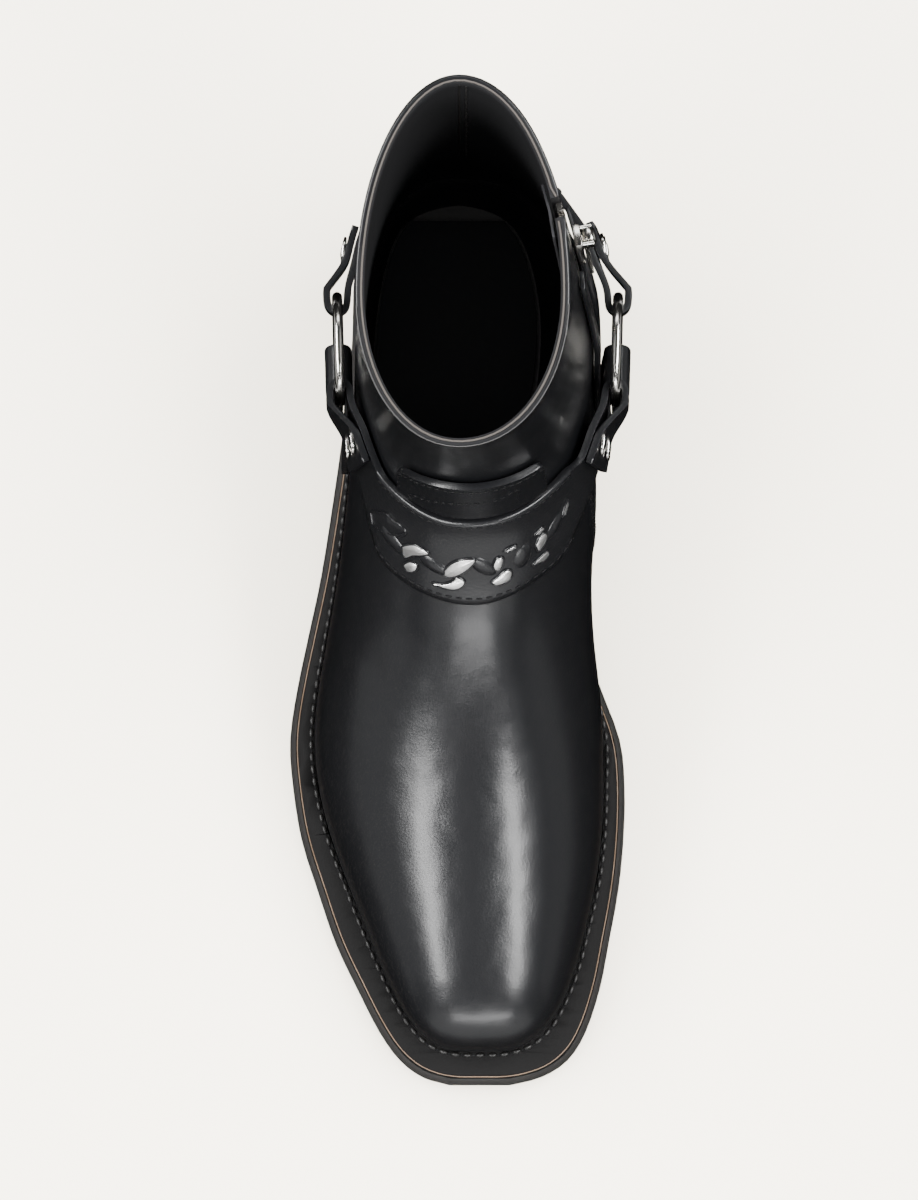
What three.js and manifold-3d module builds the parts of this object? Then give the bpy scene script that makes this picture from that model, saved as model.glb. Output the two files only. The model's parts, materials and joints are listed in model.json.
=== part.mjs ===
// Harness boot for the right foot: a short leather shaft on a welted sole with a stacked heel.
// +X is the inner side of the foot, +Y the heel, +Z up. Lengths are millimetres.
// The origin is the middle of the heel's rest face, on the floor.

import * as THREE from 'three';
import { mergeVertices } from 'three/addons/utils/BufferGeometryUtils.js';
import Module from 'manifold-3d';

const wasm = await Module();
wasm.setup();

// Driving dimensions
const shoeLength = 285;          // outsole, heel to toe
const soleBallWidth = 107.6;     // outsole across the ball
const upperBallWidth = 91.4;     // upper across the ball
const shaftHeight = 145;         // collar above the top of the sole
const seatHeight = 36;           // floor to the underside of the sole, over the heel
const toeSpring = 7;             // how far the toe end is off the floor
const wall = 2.8;                // leather and lining of the upper
const outsoleThickness = 7;
const outsoleFlare = 2.2;        // the sole's side leans out to the floor
const weltThickness = 3.2;
const insoleThickness = 3.5;
const liftThickness = 7;         // top lift under the heel stack
const heelTaper = 2.5;           // how far the heel draws in to the floor
const gap = 0.3;                 // between pieces that touch
const strapThickness = 2.2;
const strapClearance = 0.75;     // under a strap that lies on the upper
const facingThickness = 1.5;
const facingClearance = 0.4;
const ringRadius = 16;           // to the middle of the wire
const ringWire = 1.7;            // radius of the wire
const foldWidth = 14;            // strap where it turns round the ring
const flapWidth = 20;            // strap at its rivets
const flapLength = 35;           // from the middle of the ring to the end of the turned-back strap
const rivetPlace = 28;           // from the middle of the ring
const rivetSpread = 9;
const rivetRadius = 4;
const rivetHeight = 1.3;
const rivetRim = 0.4;            // share of the rivet's height up to its dome
const zipSlot = 6;
const zipTopInset = 3;           // zip's upper end under the collar
const facingInset = 1;           // facing beside the slot
const facingTopInset = 32;       // facing's upper end under the collar, along the zip
const zipTeeth = 4.8;
const zipTapeWidth = 18;
const zipTapeThickness = 0.8;
const frontFacing = 13;
const rearFacing = 6;
const sliderLength = 11;
const sliderWidth = 7;
const sliderThickness = 2;
const pinRadius = 0.8;
const tabLength = 19;
const tabWidth = 4;
const tabThickness = 1.2;
const knuckleWall = 0.9;
const earWidth = 1;
const earLength = 2.6;
const sliderGap = 0.9;           // under the slider, over the leather
const sliderBelow = 24;          // middle of the slider under the collar
const weltBevel = 0.5;
const stackFlare = 1.9;          // heel stack, from its foot to its seat

// Places along the sole, as shares of its length from the back of the heel
const heelArcEnd = 0.1228;
const heelBreast = 0.2281;
const treadBack = 0.558;
const treadFront = 0.719;
const seatPitch = 0.046;         // slope of the heel seat

const heelBack = shoeLength * heelArcEnd;
const alongY = (share) => heelBack - share * shoeLength;

// Outline of the sole at the floor: widths from the middle line as shares of its ball width
const soleOutline = [
  { along: heelArcEnd, lateral: 0.311, medial: 0.311 },
  { along: 0.193, lateral: 0.316, medial: 0.307 },
  { along: 0.263, lateral: 0.335, medial: 0.283 },
  { along: 0.347, lateral: 0.369, medial: 0.274 },
  { along: 0.432, lateral: 0.409, medial: 0.307 },
  { along: 0.488, lateral: 0.443, medial: 0.358 },
  { along: 0.554, lateral: 0.481, medial: 0.421 },
  { along: 0.614, lateral: 0.503, medial: 0.479 },
  { along: 0.667, lateral: 0.494, medial: 0.493 },
  { along: 0.726, lateral: 0.468, medial: 0.489 },
  { along: 0.783, lateral: 0.420, medial: 0.473 },
  { along: 0.842, lateral: 0.366, medial: 0.444 },
  { along: 0.891, lateral: 0.304, medial: 0.418 },
  { along: 0.940, lateral: 0.237, medial: 0.375 },
  { along: 0.972, lateral: 0.176, medial: 0.321 },
  { along: 0.991, lateral: 0.108, medial: 0.242 },
  { along: 1, lateral: 0.028, medial: 0.149 },
];

// Sections of the upper from the toe to the collar. Each lies in a plane through its ridge point,
// over the foot, and its keel point, under the foot or behind the heel.
// along: share of the length; up: share of the shaft height above the sole's top under the keel;
// lateral, medial, crest, keelX: shares of the upper's ball width; belly: where it is widest, from
// keel to ridge; crown and tuck: roundness above and below the widest place.
const upperSections = [
  { ridgeAlong: 0.959, ridgeUp: 0, keelAlong: 0.959, keelUp: 0, lateral: 0.022, medial: 0.150,
    crest: 0.077, keelX: 0.077, belly: 0.4, crown: 3.4, tuckLateral: 4.5, tuckMedial: 4.5 },
  { ridgeAlong: 0.9625, ridgeUp: 0.075, keelAlong: 0.951, keelUp: -0.014, lateral: 0.060, medial: 0.206,
    crest: 0.080, keelX: 0.080, belly: 0.39, crown: 3.2, tuckLateral: 4.5, tuckMedial: 4.5 },
  { ridgeAlong: 0.956, ridgeUp: 0.128, keelAlong: 0.935, keelUp: -0.030, lateral: 0.116, medial: 0.263,
    crest: 0.083, keelX: 0.083, belly: 0.365, crown: 3, tuckLateral: 4.5, tuckMedial: 4.5 },
  { ridgeAlong: 0.940, ridgeUp: 0.181, keelAlong: 0.916, keelUp: -0.039, lateral: 0.173, medial: 0.322,
    crest: 0.086, keelX: 0.086, belly: 0.334, crown: 2.8, tuckLateral: 4.5, tuckMedial: 4.5 },
  { ridgeAlong: 0.912, ridgeUp: 0.229, keelAlong: 0.888, keelUp: -0.040, lateral: 0.228, medial: 0.372,
    crest: 0.088, keelX: 0.088, belly: 0.30, crown: 2.6, tuckLateral: 4.5, tuckMedial: 4.5 },
  { ridgeAlong: 0.870, ridgeUp: 0.270, keelAlong: 0.849, keelUp: -0.040, lateral: 0.285, medial: 0.416,
    crest: 0.088, keelX: 0.088, belly: 0.285, crown: 2.4, tuckLateral: 4.5, tuckMedial: 4.5 },
  { ridgeAlong: 0.818, ridgeUp: 0.308, keelAlong: 0.804, keelUp: -0.048, lateral: 0.345, medial: 0.451,
    crest: 0.086, keelX: 0.086, belly: 0.285, crown: 2.3, tuckLateral: 4.5, tuckMedial: 4.5 },
  { ridgeAlong: 0.754, ridgeUp: 0.346, keelAlong: 0.751, keelUp: -0.051, lateral: 0.416, medial: 0.488,
    crest: 0.082, keelX: 0.082, belly: 0.27, crown: 2.2, tuckLateral: 4.5, tuckMedial: 4.2 },
  { ridgeAlong: 0.691, ridgeUp: 0.388, keelAlong: 0.695, keelUp: -0.057, lateral: 0.474, medial: 0.498,
    crest: 0.076, keelX: 0.076, belly: 0.265, crown: 2.15, tuckLateral: 4.5, tuckMedial: 4 },
  { ridgeAlong: 0.635, ridgeUp: 0.439, keelAlong: 0.639, keelUp: -0.057, lateral: 0.500, medial: 0.498,
    crest: 0.070, keelX: 0.070, belly: 0.255, crown: 2.1, tuckLateral: 4.5, tuckMedial: 3.6 },
  { ridgeAlong: 0.582, ridgeUp: 0.505, keelAlong: 0.575, keelUp: -0.050, lateral: 0.495, medial: 0.494,
    crest: 0.066, keelX: 0.066, belly: 0.235, crown: 2.05, tuckLateral: 4.5, tuckMedial: 2.8 },
  { ridgeAlong: 0.533, ridgeUp: 0.559, keelAlong: 0.502, keelUp: -0.055, lateral: 0.455, medial: 0.466,
    crest: 0.066, keelX: 0.066, belly: 0.25, crown: 2.05, tuckLateral: 4.2, tuckMedial: 2 },
  { ridgeAlong: 0.491, ridgeUp: 0.563, keelAlong: 0.418, keelUp: -0.099, lateral: 0.414, medial: 0.457,
    crest: 0.066, keelX: 0.060, belly: 0.32, crown: 2.1, tuckLateral: 3.8, tuckMedial: 1.33 },
  { ridgeAlong: 0.458, ridgeUp: 0.536, keelAlong: 0.319, keelUp: -0.157, lateral: 0.383, medial: 0.470,
    crest: 0.066, keelX: 0.040, belly: 0.42, crown: 2.1, tuckLateral: 3.4, tuckMedial: 1.1 },
  { ridgeAlong: 0.433, ridgeUp: 0.554, keelAlong: 0.207, keelUp: -0.153, lateral: 0.361, medial: 0.465,
    crest: 0.064, keelX: 0.020, belly: 0.48, crown: 2.1, tuckLateral: 3, tuckMedial: 1.25 },
  { ridgeAlong: 0.414, ridgeUp: 0.615, keelAlong: 0.088, keelUp: -0.081, lateral: 0.350, medial: 0.454,
    crest: 0.060, keelX: 0.005, belly: 0.50, crown: 2.1, tuckLateral: 3.4, tuckMedial: 2 },
  { ridgeAlong: 0.400, ridgeUp: 0.684, keelAlong: 0.009, keelUp: 0.036, lateral: 0.345, medial: 0.449,
    crest: 0.052, keelX: 0, belly: 0.52, crown: 2.1, tuckLateral: 3, tuckMedial: 2.4 },
  { ridgeAlong: 0.389, ridgeUp: 0.759, keelAlong: 0.0035, keelUp: 0.228, lateral: 0.339, medial: 0.438,
    crest: 0.042, keelX: 0, belly: 0.55, crown: 2.1, tuckLateral: 2.4, tuckMedial: 2.2 },
  { ridgeAlong: 0.382, ridgeUp: 0.837, keelAlong: 0.012, keelUp: 0.464, lateral: 0.334, medial: 0.410,
    crest: 0.028, keelX: 0, belly: 0.56, crown: 2.1, tuckLateral: 2.1, tuckMedial: 2.1 },
  { ridgeAlong: 0.377, ridgeUp: 0.919, keelAlong: 0.005, keelUp: 0.726, lateral: 0.330, medial: 0.378,
    crest: 0.014, keelX: 0, belly: 0.57, crown: 2.1, tuckLateral: 2, tuckMedial: 2.1 },
  { ridgeAlong: 0.375, ridgeUp: 1, keelAlong: -0.007, keelUp: 1, lateral: 0.328, medial: 0.350,
    crest: 0, keelX: 0, belly: 0.58, crown: 2.1, tuckLateral: 2, tuckMedial: 2 },
];
const collarRow = upperSections.length - 1;

// Edges of the front strap where it lies over the instep, as rows of the section table
const frontStrapOverInstep = [
  { turn: 45, top: 15.12, bottom: 13.05 },
  { turn: 54, top: 15.02, bottom: 12.65 },
  { turn: 65, top: 14.88, bottom: 12.3 },
  { turn: 77, top: 14.78, bottom: 12.03 },
  { turn: 90, top: 14.86, bottom: 11.95 },
  { turn: 103, top: 15.0, bottom: 12.15 },
  { turn: 115, top: 15.17, bottom: 12.5 },
  { turn: 126, top: 15.3, bottom: 12.88 },
  { turn: 134, top: 15.35, bottom: 13.25 },
];

// Turns at which the back strap is laid round the heel, the same on both sides
const backStrapTurns = [-42, -54, -66, -78, -90];

// Places and directions on the side of the shaft, seen from the side: (y, z), outer side and inner side alike
const ringPlace = new THREE.Vector2(alongY(0.2298), seatHeight + outsoleThickness + 0.448 * shaftHeight);
const frontWay = new THREE.Vector2(-1, 0.07).normalize();
const backWay = new THREE.Vector2(1, 0.09).normalize();
const underWay = new THREE.Vector2(-0.29, -0.957).normalize();
const sides = [{ name: 'lateral', sign: -1 }, { name: 'medial', sign: 1 }];

// Curve through a table's column; place counts rows and need not be whole
function along(table, column, place) {
  const last = table.length - 1;
  const start = Math.min(Math.max(Math.floor(place), 0), last - 1);
  const value = (row) => {
    if (row < 0) return 2 * table[0][column] - table[1][column];
    if (row > last) return 2 * table[last][column] - table[last - 1][column];
    return table[row][column];
  };
  const [before, from, to, after] = [value(start - 1), value(start), value(start + 1), value(start + 2)];
  const part = place - start;
  const bend = 2 * before - 5 * from + 4 * to - after;
  const twist = 3 * (from - to) + after - before;
  return from + 0.5 * part * (to - before + part * (bend + part * twist));
}

// Value where a rising or falling function crosses zero
function crossing(difference, low, high) {
  const risesTo = Math.sign(difference(high));
  for (let step = 0; step < 40; step += 1) {
    const middle = (low + high) / 2;
    if (Math.sign(difference(middle)) === risesTo) high = middle;
    else low = middle;
  }
  return (low + high) / 2;
}

// Height of the sole's underside: heel seat, waist, flat tread and toe spring
function soleUnder(y) {
  const breastY = alongY(heelBreast);
  const treadBackY = alongY(treadBack);
  const treadFrontY = alongY(treadFront);
  if (y >= breastY) return seatHeight + seatPitch * y;
  if (y > treadBackY) {
    const run = breastY - treadBackY;
    const part = (y - treadBackY) / run;
    const rise = part * part * (3 - 2 * part) * (seatHeight + seatPitch * breastY);
    return rise + seatPitch * run * part * part * (part - 1);
  }
  if (y >= treadFrontY) return 0;
  return toeSpring * ((treadFrontY - y) / (treadFrontY - alongY(1))) ** 2;
}

const soleTop = (y) => soleUnder(y) + outsoleThickness;
const feather = (y) => soleTop(y) + gap;
const weltTop = (y) => feather(y) + weltThickness;

// Closed solid from triangles; doubles are joined and the faces point out
function solid(points, triangles) {
  const flat = new THREE.BufferGeometry();
  flat.setAttribute('position', new THREE.Float32BufferAttribute(points.flatMap((p) => p.toArray()), 3));
  flat.setIndex(triangles.flat());
  const merged = mergeVertices(flat, 1e-4);
  const index = merged.getIndex().array;
  const kept = [];
  for (let at = 0; at < index.length; at += 3) {
    const [a, b, c] = [index[at], index[at + 1], index[at + 2]];
    if (a !== b && b !== c && a !== c) kept.push(a, b, c);
  }
  const place = merged.getAttribute('position');
  const corner = (number) => new THREE.Vector3().fromBufferAttribute(place, number);
  let volume = 0;
  for (let at = 0; at < kept.length; at += 3) {
    volume += corner(kept[at]).dot(corner(kept[at + 1]).cross(corner(kept[at + 2])));
  }
  if (volume < 0) kept.reverse();
  merged.setIndex(kept);
  return merged;
}

const toManifold = (geometry) => new wasm.Manifold(new wasm.Mesh({
  numProp: 3,
  vertProperties: new Float32Array(geometry.getAttribute('position').array),
  triVerts: new Uint32Array(geometry.getIndex().array),
}));

function fromManifold(body) {
  const mesh = body.getMesh();
  const geometry = new THREE.BufferGeometry();
  geometry.setAttribute('position', new THREE.Float32BufferAttribute(mesh.vertProperties, 3));
  geometry.setIndex(Array.from(mesh.triVerts));
  return geometry;
}

// Two triangles of a quad, split along its shorter diagonal
function split(points, [a, b, c, d]) {
  const longer = points[a].distanceTo(points[c]) > points[b].distanceTo(points[d]) + 1e-4;
  return longer ? [[a, b, d], [b, c, d]] : [[a, b, c], [a, c, d]];
}

// Solid between rings of equal count; points opposite each other across a ring close its ends
function layered(rings) {
  const count = rings[0].length;
  const points = rings.flat();
  const triangles = [];
  for (let level = 0; level + 1 < rings.length; level += 1) {
    for (let at = 0; at < count; at += 1) {
      const [a, b] = [level * count + at, level * count + (at + 1) % count];
      triangles.push(...split(points, [a, b, b + count, a + count]));
    }
  }
  const top = (rings.length - 1) * count;
  for (let at = 0; at < count / 2 - 1; at += 1) {
    const [a, b, c, d] = [at, at + 1, count - 2 - at, count - 1 - at];
    triangles.push([b, a, d], [b, d, c], [top + a, top + b, top + d], [top + b, top + c, top + d]);
  }
  return solid(points, triangles);
}

// Outline of the sole as one ring, moved in by an inset: outer side to the toe, inner side back
function soleRing(inset, fromAlong = 0, toRow = soleOutline.length - 1) {
  const heelSteps = 9;
  const stepsPerRow = 3;
  const heelHalf = soleOutline[0].lateral * soleBallWidth;
  const lateral = [];
  const medial = [];
  const put = (y, left, right) => {
    if (y > alongY(fromAlong) + 1e-6) return;
    lateral.push(new THREE.Vector2(-left, y));
    medial.unshift(new THREE.Vector2(right, y));
  };
  for (let step = 0; step < heelSteps; step += 1) {
    const turn = (Math.PI / 2) * (1 - step / heelSteps);
    put(heelBack * Math.sin(turn), heelHalf * Math.cos(turn), heelHalf * Math.cos(turn));
  }
  for (let step = 0; step <= toRow * stepsPerRow; step += 1) {
    const row = step / stepsPerRow;
    const width = (side) => along(soleOutline, side, row) * soleBallWidth;
    put(alongY(along(soleOutline, 'along', row)), width('lateral'), width('medial'));
  }
  return insetRing([...lateral, ...medial], inset);
}

function insetRing(ring, inset) {
  const count = ring.length;
  const distinct = (at, step) => {
    let other = (at + step + count) % count;
    while (ring[other].distanceTo(ring[at]) < 1e-6) other = (other + step + count) % count;
    return ring[other];
  };
  return ring.map((point, at) => {
    const before = point.clone().sub(distinct(at, -1)).normalize();
    const after = distinct(at, 1).clone().sub(point).normalize();
    const way = before.clone().add(after).normalize();
    const reach = inset / Math.max(way.dot(before), 0.5);
    return new THREE.Vector2(point.x - way.y * reach, point.y + way.x * reach);
  });
}

const raise = (ring, height) => ring.map((p) => new THREE.Vector3(p.x, p.y, height(p.y)));

// One section of the upper at a place in the table
function section(row) {
  const share = (column) => along(upperSections, column, row);
  const keelY = alongY(share('keelAlong'));
  const base = feather(keelY);
  return {
    ridge: new THREE.Vector3(share('crest') * upperBallWidth, alongY(share('ridgeAlong')),
      base + share('ridgeUp') * shaftHeight),
    keel: new THREE.Vector3(share('keelX') * upperBallWidth, keelY,
      base + share('keelUp') * shaftHeight),
    lateral: share('lateral') * upperBallWidth,
    medial: share('medial') * upperBallWidth,
    belly: share('belly'),
    crown: share('crown'),
    tuckLateral: share('tuckLateral'),
    tuckMedial: share('tuckMedial'),
  };
}

// Turn at which a section reaches a share of the way from keel to ridge; negative below the belly
function turnAt(form, share, tuck) {
  const above = share >= form.belly;
  const power = above ? form.crown : tuck;
  const up = above ? (share - form.belly) / (1 - form.belly) : (form.belly - share) / form.belly;
  const part = Math.min(Math.max(up, 0), 1);
  const turn = Math.atan2(part, (1 - part ** power) ** (1 / power));
  return above ? turn : -turn;
}

// Point of the upper's outer face. The turn is 0 at the outer side's widest place, a quarter turn
// over the ridge and a half turn at the inner side's widest place.
function facePoint(row, turn) {
  const form = section(row);
  const inner = turn > Math.PI / 2;
  const rise = inner ? Math.PI - turn : turn;
  const tuck = inner ? form.tuckMedial : form.tuckLateral;
  const power = rise >= 0 ? form.crown : tuck;
  const [across, up] = [Math.abs(Math.cos(rise)), Math.abs(Math.sin(rise))];
  const reach = (across ** power + up ** power) ** (-1 / power);
  const share = rise >= 0 ? form.belly + (1 - form.belly) * reach * up : form.belly * (1 - reach * up);
  const middle = form.keel.clone().lerp(form.ridge, share);
  const half = inner ? form.medial - middle.x : -form.lateral - middle.x;
  middle.x += half * reach * across;
  return middle;
}

function faceNormal(row, turn) {
  const small = 1e-3;
  const rowBefore = Math.max(row - small, 0);
  const rowAfter = Math.min(row + small, collarRow);
  const round = facePoint(row, turn + small).sub(facePoint(row, turn - small));
  const onward = facePoint(rowAfter, turn).sub(facePoint(rowBefore, turn));
  return round.cross(onward).normalize();
}

const face = (row, turn, lift) => facePoint(row, turn).addScaledVector(faceNormal(row, turn), lift);

// Ends of a section where it meets the top of the sole; a half turn each way where it is closed
function sectionEnds(row) {
  if (row === 0) return { from: 0, to: Math.PI, closed: false };
  const form = section(row);
  const over = (share) => {
    const point = form.keel.clone().lerp(form.ridge, share);
    return point.z - feather(point.y);
  };
  if (over(0) >= -1e-6) return { from: -Math.PI / 2, to: 1.5 * Math.PI, closed: over(0) > 1e-3 };
  const share = crossing(over, 0, 1);
  return {
    from: turnAt(form, share, form.tuckLateral),
    to: Math.PI - turnAt(form, share, form.tuckMedial),
    closed: false,
  };
}

// Row at which the keel comes up through the top of the sole, at the back of the heel
const heelRow = crossing((row) => {
  const { keel } = section(row);
  return keel.z - feather(keel.y);
}, 12, 17);

// Rows of the upper's grid up to the back of the heel, close together at the toe, over the sole's
// bend and round the heel, as shares of the way; then even rows up to the collar
const footGrid = [
  0, 0.014, 0.022, 0.032, 0.044, 0.062, 0.084, 0.112, 0.146, 0.186, 0.23, 0.276, 0.324, 0.374, 0.426,
  0.48, 0.534, 0.588, 0.64, 0.688, 0.73, 0.766, 0.796, 0.822, 0.846, 0.867, 0.886, 0.904, 0.921, 0.938,
  0.954, 0.968, 0.98, 0.991,
];
const footRows = footGrid.length;
const shaftRows = 9;
const gridColumns = 24;
const gridRows = footGrid.map((part) => heelRow * part);
for (let step = 0; step <= shaftRows; step += 1) {
  gridRows.push(heelRow + (collarRow - heelRow) * step / shaftRows);
}

// Row and turn of the place that shows at (y, z) when the boot is seen from the side
function sidePlace(y, z, side) {
  const offPlane = (row) => {
    const { ridge, keel } = section(row);
    return (ridge.z - keel.z) * (y - keel.y) - (ridge.y - keel.y) * (z - keel.z);
  };
  const row = crossing(offPlane, 11, collarRow);
  const form = section(row);
  const run = form.ridge.clone().sub(form.keel).setX(0);
  const share = new THREE.Vector3(0, y, z).sub(form.keel).setX(0).dot(run) / run.lengthSq();
  const tuck = side > 0 ? form.tuckMedial : form.tuckLateral;
  const turn = turnAt(form, share, tuck);
  return [row, side > 0 ? Math.PI - turn : turn];
}

const sideFace = (y, z, side, lift) => face(...sidePlace(y, z, side), lift);

// Frame on the side of the shaft: z out of the leather, y along a direction seen from the side
function sideFrame(y, z, side, lift, direction) {
  const origin = sideFace(y, z, side, lift);
  const out = faceNormal(...sidePlace(y, z, side));
  const onward = new THREE.Vector3(0, direction.x, direction.y);
  onward.addScaledVector(out, -onward.dot(out)).normalize();
  const across = onward.clone().cross(out);
  return new THREE.Matrix4().makeBasis(across, onward, out).setPosition(origin);
}

// Solid between an outer and an inner grid of points; its sides are closed along the first rows
function shell(outer, inner, closedSides = outer.length - 1) {
  const rows = outer.length;
  const columns = outer[0].length;
  const points = [...outer.flat(), ...inner.flat()];
  const triangles = [];
  const at = (skin, row, column) => (skin * rows + row) * columns + column;
  const quad = (...corners) => triangles.push(...split(points, corners));
  for (let row = 0; row + 1 < rows; row += 1) {
    for (let column = 0; column + 1 < columns; column += 1) {
      quad(at(0, row, column), at(0, row, column + 1), at(0, row + 1, column + 1), at(0, row + 1, column));
      quad(at(1, row, column), at(1, row + 1, column), at(1, row + 1, column + 1), at(1, row, column + 1));
    }
  }
  const end = rows - 1;
  for (let column = 0; column + 1 < columns; column += 1) {
    quad(at(0, 0, column), at(1, 0, column), at(1, 0, column + 1), at(0, 0, column + 1));
    quad(at(0, end, column), at(0, end, column + 1), at(1, end, column + 1), at(1, end, column));
  }
  const side = columns - 1;
  for (let row = 0; row < closedSides; row += 1) {
    quad(at(0, row, 0), at(0, row + 1, 0), at(1, row + 1, 0), at(1, row, 0));
    quad(at(0, row, side), at(1, row, side), at(1, row + 1, side), at(0, row + 1, side));
  }
  return solid(points, triangles);
}

// Turns of a section's columns. Behind the waist the middle ones change slowly up to the collar,
// and the few by the sole and the heel run down to the section's own ends.
function columnTurns(row) {
  const waistRow = 13;
  const endColumns = 4;
  const last = gridColumns - endColumns;
  const own = sectionEnds(row);
  const shared = sectionEnds(Math.min(row, waistRow));
  const part = Math.max(row - waistRow, 0) / (collarRow - waistRow);
  const closing = part * part * (3 - 2 * part);
  const from = shared.from + (-Math.PI / 2 - shared.from) * closing;
  const to = shared.to + (1.5 * Math.PI - shared.to) * closing;
  const middle = (column) => from + (to - from) * column / gridColumns;
  return Array.from({ length: gridColumns + 1 }, (_, column) => {
    if (column < endColumns) return own.from + (middle(endColumns) - own.from) * column / endColumns;
    if (column > last) return own.to + (middle(last) - own.to) * (gridColumns - column) / endColumns;
    return middle(column);
  });
}

// The upper: one skin with its wall, cut level along the sole and open at the collar
function upperSkin() {
  const forward = new THREE.Vector3(0, -1, 0);
  const outer = [];
  const inner = [];
  for (const row of gridRows) {
    const turns = columnTurns(row);
    const points = turns.map((turn) => facePoint(row, turn));
    const atToe = Math.max(1 - row, 0);
    const normals = turns.map((turn) => faceNormal(row, turn).lerp(forward, atToe).normalize());
    if (row >= heelRow) {
      const seam = normals[0].clone().add(normals[gridColumns]).setX(0).normalize();
      normals[0].copy(seam);
      normals[gridColumns].copy(seam);
    }
    const inside = points.map((point, column) => point.clone().addScaledVector(normals[column], -wall));
    if (!sectionEnds(row).closed) {
      for (const column of [0, gridColumns]) inside[column].z = feather(inside[column].y);
    }
    if (row === 0) inside.forEach((point) => point.setZ(feather(point.y)));
    outer.push(points);
    inner.push(inside);
  }
  return shell(outer, inner, footRows);
}

// Closed form of the upper, used to cut the welt round it
function closedForm(lift) {
  const keelSteps = 4;
  const firstRow = 0.02;
  return layered(gridRows.map((row) => {
    const turns = columnTurns(row);
    const { from, to } = sectionEnds(row);
    for (let step = 1; step <= keelSteps; step += 1) {
      const under = step / (keelSteps + 0.5);
      turns.unshift(from + (-Math.PI / 2 - from) * under);
      turns.push(to + (1.5 * Math.PI - to) * under);
    }
    return turns.map((turn) => face(Math.max(row, firstRow), turn, lift));
  }));
}

// Lower edge of the upper as a ring, moved in by an inset
function featherRing(inset) {
  const toeRows = 4;
  const open = gridRows.slice(toeRows, footRows);
  const lateral = open.map((row) => facePoint(row, sectionEnds(row).from));
  const medial = open.map((row) => facePoint(row, sectionEnds(row).to)).reverse();
  const flat = [...medial, ...lateral].map((point) => new THREE.Vector2(point.x, point.y));
  return insetRing(flat.reverse(), inset);
}

// Strip of leather on the side of the shaft, between two distances from a line seen from the side
function sideStrip(line, side, from, to, lowLift, highLift, steps, columns = 2, raised = 0) {
  const outer = [];
  const inner = [];
  const [start, end] = line;
  const onward = end.clone().sub(start).normalize();
  for (let step = 0; step <= steps; step += 1) {
    const place = start.clone().lerp(end, step / steps);
    const spots = Array.from({ length: columns + 1 }, (_, column) => {
      const away = from + (to - from) * column / columns;
      return [place.x + onward.y * away, place.y - onward.x * away];
    });
    outer.push(spots.map(([y, z]) => sideFace(y, z, side, highLift)));
    inner.push(spots.map(([y, z]) => sideFace(y, z, side, lowLift)));
  }
  if (raised > 0) {
    const lifted = (points) => points.map((point) => point.clone().setZ(point.z + raised));
    outer.push(lifted(outer[steps]));
    inner.push(lifted(inner[steps]));
  }
  return shell(outer, inner);
}

// Clearance under a strap by the ring: on the inner side it also passes over the zip's facing
const ringClearance = (side) => (side > 0 ? facingClearance + facingThickness + 2 * gap : strapClearance);
const ringLift = (side) => ringClearance(side) + strapThickness + gap + ringWire;
const foldRadius = ringWire + gap + strapThickness / 2;
const foldPlace = Math.sqrt(ringRadius ** 2 - (foldWidth / 2) ** 2) - gap;
const clearOfRing = ringRadius + ringWire + 2 * gap;

const ringFrame = (side) => sideFrame(ringPlace.x, ringPlace.y, side, ringLift(side), frontWay);

function halfStrap(away) {
  const part = Math.min(Math.max((away - foldPlace) / (rivetPlace - foldPlace), 0), 1);
  return (foldWidth + (flapWidth - foldWidth) * part) / 2;
}

// Distances from the ring's middle at which a strap lies on the leather beside its rivets
const rivetStep = 3.5;
const farPlaces = [rivetPlace - rivetStep, rivetPlace, rivetPlace + rivetStep, flapLength];
const foldSteps = [0.8, 0.6, 0.4, 0.2];
const acrossSteps = [-1, -0.5, 0, 0.5, 1];

// Stations of a strap's end, from the end of the flap round the ring's wire and out under it.
// Each station holds the points of its two faces across the strap.
function strapEnd(side, way, farStations = farPlaces) {
  const frame = sideFrame(ringPlace.x, ringPlace.y, side, ringLift(side), way);
  const [across, onward, out] = [0, 1, 2].map((column) => new THREE.Vector3().setFromMatrixColumn(frame, column));
  const middle = new THREE.Vector3().setFromMatrixPosition(frame);
  const onLeather = (away, lift) => {
    const spots = acrossSteps.map((step) => {
      const over = step * halfStrap(away) * side;
      return [ringPlace.x + way.x * away - way.y * over, ringPlace.y + way.y * away + way.x * over];
    });
    return [lift + strapThickness / 2, lift - strapThickness / 2].map((height) => (
      spots.map(([y, z]) => sideFace(y, Math.max(z, weltTop(y) + 2 * gap), side, height))));
  };
  const byRing = (away, turn) => {
    const toWire = onward.clone().multiplyScalar(Math.sin(turn)).addScaledVector(out, Math.cos(turn));
    const place = middle.clone().addScaledVector(onward, away - foldRadius * Math.sin(turn));
    place.addScaledVector(out, -foldRadius * Math.cos(turn));
    return [strapThickness / 2, -strapThickness / 2].map((height) => acrossSteps.map((step) => (
      place.clone().addScaledVector(toWire, height).addScaledVector(across, -step * halfStrap(away)))));
  };
  const mainLift = ringClearance(side) + strapThickness / 2;
  const flapLift = mainLift + strapThickness + gap;
  const turned = ([upper, lower]) => [lower, upper];
  const flap = farPlaces.map((away) => turned(onLeather(away, flapLift))).reverse();
  const overWire = [byRing(clearOfRing, Math.PI), byRing(foldPlace, Math.PI)];
  const fold = foldSteps.map((part) => byRing(foldPlace, part * Math.PI));
  const underWire = [byRing(foldPlace, 0), byRing(clearOfRing, 0)];
  const onLeatherAgain = farStations.map((away) => onLeather(away, mainLift));
  return [...flap, ...overWire, ...fold, ...underWire, ...onLeatherAgain];
}

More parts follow.
